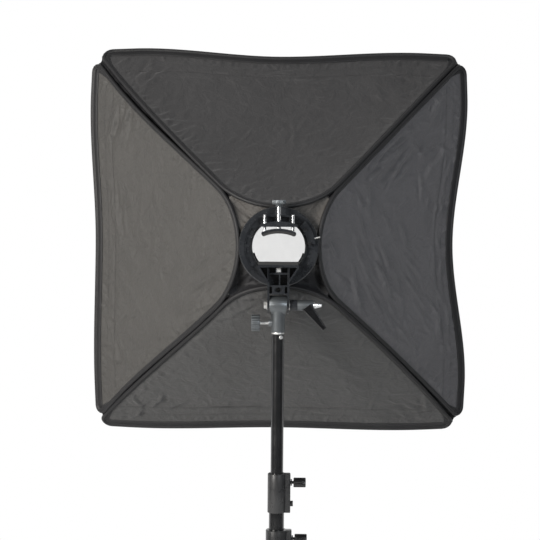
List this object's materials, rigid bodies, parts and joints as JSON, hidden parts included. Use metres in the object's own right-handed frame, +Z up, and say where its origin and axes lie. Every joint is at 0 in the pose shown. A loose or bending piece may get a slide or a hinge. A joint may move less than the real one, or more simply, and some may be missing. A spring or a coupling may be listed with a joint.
{
  "type": "studio softbox",
  "caption": "Square folding softbox with sprung black side panels and a white front, on a tilting flash bracket and a telescopic light stand with folding legs.",
  "frame": {"origin": "underside of the column's base plug, on the column's axis and on the floor", "axes": "+Z up the column, +Y the way the light leaves, +X to the right as seen from behind the softbox"},
  "size_m": [0.9022, 0.7842, 1.6455],
  "materials": {
    "black_cloth": "woven nylon, matt with a soft sheen",
    "silver_lining": "coated, satin",
    "white_diffuser": "matt",
    "spring_steel": "satin",
    "hook_and_loop": "napped",
    "elastic": "matt",
    "bracket_plastic": "fine texture",
    "ring_plate": "satin black",
    "rubber": "matt",
    "chrome": "polished",
    "cast_metal": "satin grey",
    "zinc": "zinc plated",
    "knob_plastic": "semi-gloss",
    "black_screw": "black oxide",
    "black_tube": "black anodised, satin",
    "collar_plastic": "satin",
    "foot_rubber": "matt"
  },
  "bodies": {
    "base": {"lower_tube": "black_tube", "lower_collar": "collar_plastic", "lower_collar_bolt": "black_screw", "base_plug": "collar_plastic", "brace_hub": "collar_plastic"},
    "middle_section": {"middle_tube": "black_tube", "upper_collar": "collar_plastic", "upper_collar_bolt": "black_screw"},
    "top_section": {"top_tube": "black_tube", "spigot": "zinc"},
    "socket": {"stand_socket": "cast_metal"},
    "head": {"panel_top": "black_cloth", "panel_bottom": "black_cloth", "panel_left": "black_cloth", "panel_right": "black_cloth", "spring_hoop_top": "spring_steel", "spring_hoop_bottom": "spring_steel", "spring_hoop_left": "spring_steel", "spring_hoop_right": "spring_steel", "reflective_lining": "silver_lining", "hook_and_loop_tape": "hook_and_loop", "corner_gussets": "black_cloth", "rear_centre_panel": "black_cloth", "elastic_rim": "elastic", "front_diffuser": "white_diffuser", "bracket_body": "bracket_plastic", "bayonet_ring": "ring_plate", "flange_screws": "black_screw", "shelf_pad": "rubber", "square_nut": "zinc", "pivot_bolt": "zinc"},
    "ratchet": {"ratchet_ring": "bracket_plastic"},
    "lever": {"lever_hub": "cast_metal", "tilt_lever": "knob_plastic", "lever_button": "chrome"},
    "jaw": {"clamp_jaw": "bracket_plastic", "jaw_pad": "rubber", "guide_rods": "chrome"},
    "jaw_screw": {"clamp_screw": "chrome", "clamp_knob": "cast_metal"},
    "ring_release": {"release_pin": "zinc"},
    "socket_lock": {"socket_screw": "zinc", "socket_knob": "cast_metal"},
    "upper_lock": {"upper_collar_screw": "black_screw", "upper_collar_knob": "knob_plastic"},
    "lower_lock": {"lower_collar_screw": "black_screw", "lower_collar_knob": "knob_plastic"},
    "leg_slider": {"leg_hub": "collar_plastic", "leg_pins": "zinc"},
    "leg_lock": {"leg_hub_screw": "black_screw", "leg_hub_knob": "knob_plastic"},
    "leg_front": {"leg_front": "black_tube", "foot_front": "foot_rubber"},
    "brace_front": {"brace_front": "black_tube"},
    "leg_left": {"leg_left": "black_tube", "foot_left": "foot_rubber"},
    "brace_left": {"brace_left": "black_tube"},
    "leg_right": {"leg_right": "black_tube", "foot_right": "foot_rubber"},
    "brace_right": {"brace_right": "black_tube"}
  },
  "joints": [
    {"name": "lower_section_slide", "type": "slide", "parent": "base", "child": "middle_section", "axis": [0, 0, 1], "range_m": [-0.03, 0.36]},
    {"name": "upper_section_slide", "type": "slide", "parent": "middle_section", "child": "top_section", "axis": [0, 0, 1], "range_m": [-0.24, 0.225]},
    {"name": "head_swivel", "type": "hinge", "parent": "top_section", "child": "socket", "pos_m": [0, 0, 1.1], "axis": [0, 0, 1], "continuous": true},
    {"name": "head_tilt", "type": "hinge", "parent": "socket", "child": "head", "pos_m": [0, 0, 1.136], "axis": [1, 0, 0], "range_deg": [-35, 75]},
    {"name": "ratchet_turn", "type": "hinge", "parent": "head", "child": "ratchet", "pos_m": [0.03, 0, 1.136], "axis": [1, 0, 0], "range_deg": [-100, 25]},
    {"name": "lever_lift", "type": "slide", "parent": "ratchet", "child": "lever", "axis": [1, 0, 0], "range_m": [0, 0.004], "stiffness_N_per_m": 900},
    {"name": "jaw_slide", "type": "slide", "parent": "head", "child": "jaw", "axis": [0, 0, 1], "range_m": [-0.016, 0.003]},
    {"name": "jaw_screw_turn", "type": "hinge", "parent": "jaw", "child": "jaw_screw", "pos_m": [0, -0.014, 1.3], "axis": [0, 0, 1], "range_deg": [-2880, 540]},
    {"name": "ring_release_pull", "type": "slide", "parent": "head", "child": "ring_release", "axis": [0.9703, 0, 0.2419], "range_m": [0, 0.004], "stiffness_N_per_m": 900},
    {"name": "socket_lock_turn", "type": "hinge", "parent": "socket", "child": "socket_lock", "pos_m": [-0.03, 0, 1.101], "axis": [1, 0, 0], "range_deg": [-180, 180]},
    {"name": "upper_lock_turn", "type": "hinge", "parent": "middle_section", "child": "upper_lock", "pos_m": [0.04, 0, 0.786], "axis": [1, 0, 0], "range_deg": [-180, 180]},
    {"name": "lower_lock_turn", "type": "hinge", "parent": "base", "child": "lower_lock", "pos_m": [0.04, 0, 0.674], "axis": [1, 0, 0], "range_deg": [-180, 180]},
    {"name": "leg_slider_slide", "type": "slide", "parent": "base", "child": "leg_slider", "axis": [0, 0, 1], "range_m": [0, 0.18104]},
    {"name": "leg_lock_turn", "type": "hinge", "parent": "leg_slider", "child": "leg_lock", "pos_m": [0, -0.04, 0.41582], "axis": [0, 1, 0], "range_deg": [-180, 180]},
    {"name": "leg_front_fold", "type": "hinge", "parent": "leg_slider", "child": "leg_front", "pos_m": [0, 0.038, 0.38782], "axis": [-1, 0, 0], "range_deg": [0, 46]},
    {"name": "brace_front_fold", "type": "hinge", "parent": "leg_front", "child": "brace_front", "pos_m": [0, 0.23334, 0.22391], "axis": [-1, 0, 0], "range_deg": [-92, 0]},
    {"name": "leg_left_fold", "type": "hinge", "parent": "leg_slider", "child": "leg_left", "pos_m": [-0.03291, -0.019, 0.38782], "axis": [0.5, -0.866, 0], "range_deg": [0, 46]},
    {"name": "brace_left_fold", "type": "hinge", "parent": "leg_left", "child": "brace_left", "pos_m": [-0.20208, -0.11667, 0.22391], "axis": [0.5, -0.866, 0], "range_deg": [-92, 0]},
    {"name": "leg_right_fold", "type": "hinge", "parent": "leg_slider", "child": "leg_right", "pos_m": [0.03291, -0.019, 0.38782], "axis": [0.5, 0.866, 0], "range_deg": [0, 46]},
    {"name": "brace_right_fold", "type": "hinge", "parent": "leg_right", "child": "brace_right", "pos_m": [0.20208, -0.11667, 0.22391], "axis": [0.5, 0.866, 0], "range_deg": [-92, 0]}
  ],
  "couplings": [
    {"joint": "jaw_screw_turn", "follows": "jaw_slide", "rad_per_m": 3141.6},
    {"joint": "leg_slider_slide", "follows": "leg_front_fold", "m_per_rad": 0.22537},
    {"joint": "brace_front_fold", "follows": "leg_front_fold", "ratio": -2},
    {"joint": "leg_left_fold", "follows": "leg_front_fold", "ratio": 1},
    {"joint": "brace_left_fold", "follows": "leg_front_fold", "ratio": -2},
    {"joint": "leg_right_fold", "follows": "leg_front_fold", "ratio": 1},
    {"joint": "brace_right_fold", "follows": "leg_front_fold", "ratio": -2}
  ]
}
